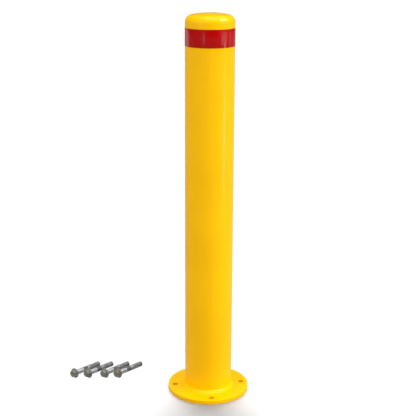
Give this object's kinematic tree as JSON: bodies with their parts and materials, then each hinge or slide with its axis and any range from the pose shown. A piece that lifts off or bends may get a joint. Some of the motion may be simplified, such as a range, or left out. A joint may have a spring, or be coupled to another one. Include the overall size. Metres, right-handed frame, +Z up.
{
  "type": "fixed bollard",
  "caption": "Fixed round steel bollard with a domed cap, a reflective band and a round bolt-down base plate, with its loose hexagon-head sleeve anchors beside it.",
  "frame": {"origin": "centre of the base plate's underside, on the ground, which is also the centre of the anchor holes' circle", "axes": "+Z up along the post; two anchor holes on the X axis and two on the Y axis; the tape's lap faces +Y and the loose anchors lie towards -X"},
  "size_m": [0.5436, 0.2988, 1.127],
  "materials": {
    "powder_coat": "yellow powder coat, semi-gloss",
    "reflective_tape": "red reflective film",
    "zinc_bolt": "zinc plated, olive tinge",
    "zinc_sleeve": "bright zinc plated",
    "zinc_nut": "zinc plated",
    "black_plastic": "moulded, matt"
  },
  "bodies": {
    "bollard": {"post_tube": "powder_coat", "top_cap": "powder_coat", "cap_weld": "powder_coat", "base_plate": "powder_coat", "base_weld": "powder_coat", "reflective_band": "reflective_tape"},
    "anchor_1_sleeves": {"anchor_1_spacer_sleeve": "zinc_sleeve", "anchor_1_crush_ring": "black_plastic", "anchor_1_expansion_sleeve": "zinc_sleeve"},
    "anchor_1_bolt": {"anchor_1_bolt": "zinc_bolt"},
    "anchor_1_nut": {"anchor_1_cone_nut": "zinc_nut"},
    "anchor_2_sleeves": {"anchor_2_spacer_sleeve": "zinc_sleeve", "anchor_2_crush_ring": "black_plastic", "anchor_2_expansion_sleeve": "zinc_sleeve"},
    "anchor_2_bolt": {"anchor_2_bolt": "zinc_bolt"},
    "anchor_2_nut": {"anchor_2_cone_nut": "zinc_nut"},
    "anchor_3_sleeves": {"anchor_3_spacer_sleeve": "zinc_sleeve", "anchor_3_crush_ring": "black_plastic", "anchor_3_expansion_sleeve": "zinc_sleeve"},
    "anchor_3_bolt": {"anchor_3_bolt": "zinc_bolt"},
    "anchor_3_nut": {"anchor_3_cone_nut": "zinc_nut"},
    "anchor_4_sleeves": {"anchor_4_spacer_sleeve": "zinc_sleeve", "anchor_4_crush_ring": "black_plastic", "anchor_4_expansion_sleeve": "zinc_sleeve"},
    "anchor_4_bolt": {"anchor_4_bolt": "zinc_bolt"},
    "anchor_4_nut": {"anchor_4_cone_nut": "zinc_nut"}
  },
  "joints": [
    {"name": "anchor_1_lift", "type": "slide", "parent": "bollard", "child": "anchor_1_sleeves", "axis": [0, 0, 1], "range_m": [0, 0.12]},
    {"name": "anchor_1_bolt_turn", "type": "hinge", "parent": "anchor_1_sleeves", "child": "anchor_1_bolt", "pos_m": [-0.2727, 0.0834, 0.01546], "axis": [0.6828, 0.7271, -0.0721], "range_deg": [0, 1440]},
    {"name": "anchor_1_nut_draw", "type": "slide", "parent": "anchor_1_sleeves", "child": "anchor_1_nut", "axis": [-0.6828, -0.7271, 0.0721], "range_m": [0, 0.007], "deforming": ["anchor_1_expansion_sleeve"]},
    {"name": "anchor_2_lift", "type": "slide", "parent": "bollard", "child": "anchor_2_sleeves", "axis": [0, 0, 1], "range_m": [0, 0.12]},
    {"name": "anchor_2_bolt_turn", "type": "hinge", "parent": "anchor_2_sleeves", "child": "anchor_2_bolt", "pos_m": [-0.31372, 0.08721, 0.01546], "axis": [0.6828, 0.7271, -0.0721], "range_deg": [0, 1440]},
    {"name": "anchor_2_nut_draw", "type": "slide", "parent": "anchor_2_sleeves", "child": "anchor_2_nut", "axis": [-0.6828, -0.7271, 0.0721], "range_m": [0, 0.007], "deforming": ["anchor_2_expansion_sleeve"]},
    {"name": "anchor_3_lift", "type": "slide", "parent": "bollard", "child": "anchor_3_sleeves", "axis": [0, 0, 1], "range_m": [0, 0.12]},
    {"name": "anchor_3_bolt_turn", "type": "hinge", "parent": "anchor_3_sleeves", "child": "anchor_3_bolt", "pos_m": [-0.3652, 0.09198, 0.01546], "axis": [0.6828, 0.7271, -0.0721], "range_deg": [0, 1440]},
    {"name": "anchor_3_nut_draw", "type": "slide", "parent": "anchor_3_sleeves", "child": "anchor_3_nut", "axis": [-0.6828, -0.7271, 0.0721], "range_m": [0, 0.007], "deforming": ["anchor_3_expansion_sleeve"]},
    {"name": "anchor_4_lift", "type": "slide", "parent": "bollard", "child": "anchor_4_sleeves", "axis": [0, 0, 1], "range_m": [0, 0.12]},
    {"name": "anchor_4_bolt_turn", "type": "hinge", "parent": "anchor_4_sleeves", "child": "anchor_4_bolt", "pos_m": [-0.40712, 0.09587, 0.01546], "axis": [0.6828, 0.7271, -0.0721], "range_deg": [0, 1440]},
    {"name": "anchor_4_nut_draw", "type": "slide", "parent": "anchor_4_sleeves", "child": "anchor_4_nut", "axis": [-0.6828, -0.7271, 0.0721], "range_m": [0, 0.007], "deforming": ["anchor_4_expansion_sleeve"]}
  ],
  "couplings": [
    {"joint": "anchor_1_nut_draw", "follows": "anchor_1_bolt_turn", "m_per_rad": 0.00027852},
    {"joint": "anchor_2_nut_draw", "follows": "anchor_2_bolt_turn", "m_per_rad": 0.00027852},
    {"joint": "anchor_3_nut_draw", "follows": "anchor_3_bolt_turn", "m_per_rad": 0.00027852},
    {"joint": "anchor_4_nut_draw", "follows": "anchor_4_bolt_turn", "m_per_rad": 0.00027852}
  ]
}
